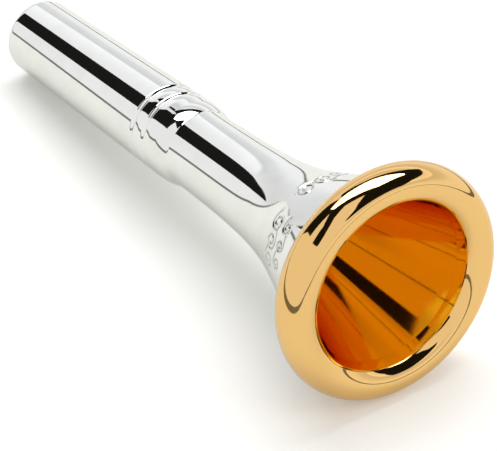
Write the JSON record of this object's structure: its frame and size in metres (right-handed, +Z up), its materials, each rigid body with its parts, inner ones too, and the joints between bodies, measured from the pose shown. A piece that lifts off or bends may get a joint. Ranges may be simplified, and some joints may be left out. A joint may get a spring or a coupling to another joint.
{
  "type": "horn mouthpiece",
  "caption": "Turned French horn mouthpiece with a screw-off rounded rim, a funnel cup in a flared body, turned rings and a tapered shank that unscrews.",
  "frame": {"origin": "on the resting surface, under the middle of the bounding box, with the mouthpiece lying on its rim and its tip", "axes": "+X towards the rim along the floor, +Z up; the mouthpiece's own axis lies in the XZ plane and rises 7.53 degrees towards the rim"},
  "size_m": [0.0672, 0.025, 0.0248],
  "materials": {
    "gold_plate": "polished gold plate on brass",
    "silver_plate": "polished silver plate on brass"
  },
  "bodies": {
    "cup": {"cup": "silver_plate"},
    "rim": {"screw_rim": "gold_plate"},
    "shank": {"shank": "silver_plate"}
  },
  "joints": [
    {"name": "rim_unscrew", "type": "slide", "parent": "cup", "child": "rim", "axis": [0.9914, 0, 0.1311], "range_m": [0, 0.003]},
    {"name": "shank_unscrew", "type": "slide", "parent": "cup", "child": "shank", "axis": [-0.9914, 0, -0.1311], "range_m": [0, 0.0045]}
  ]
}
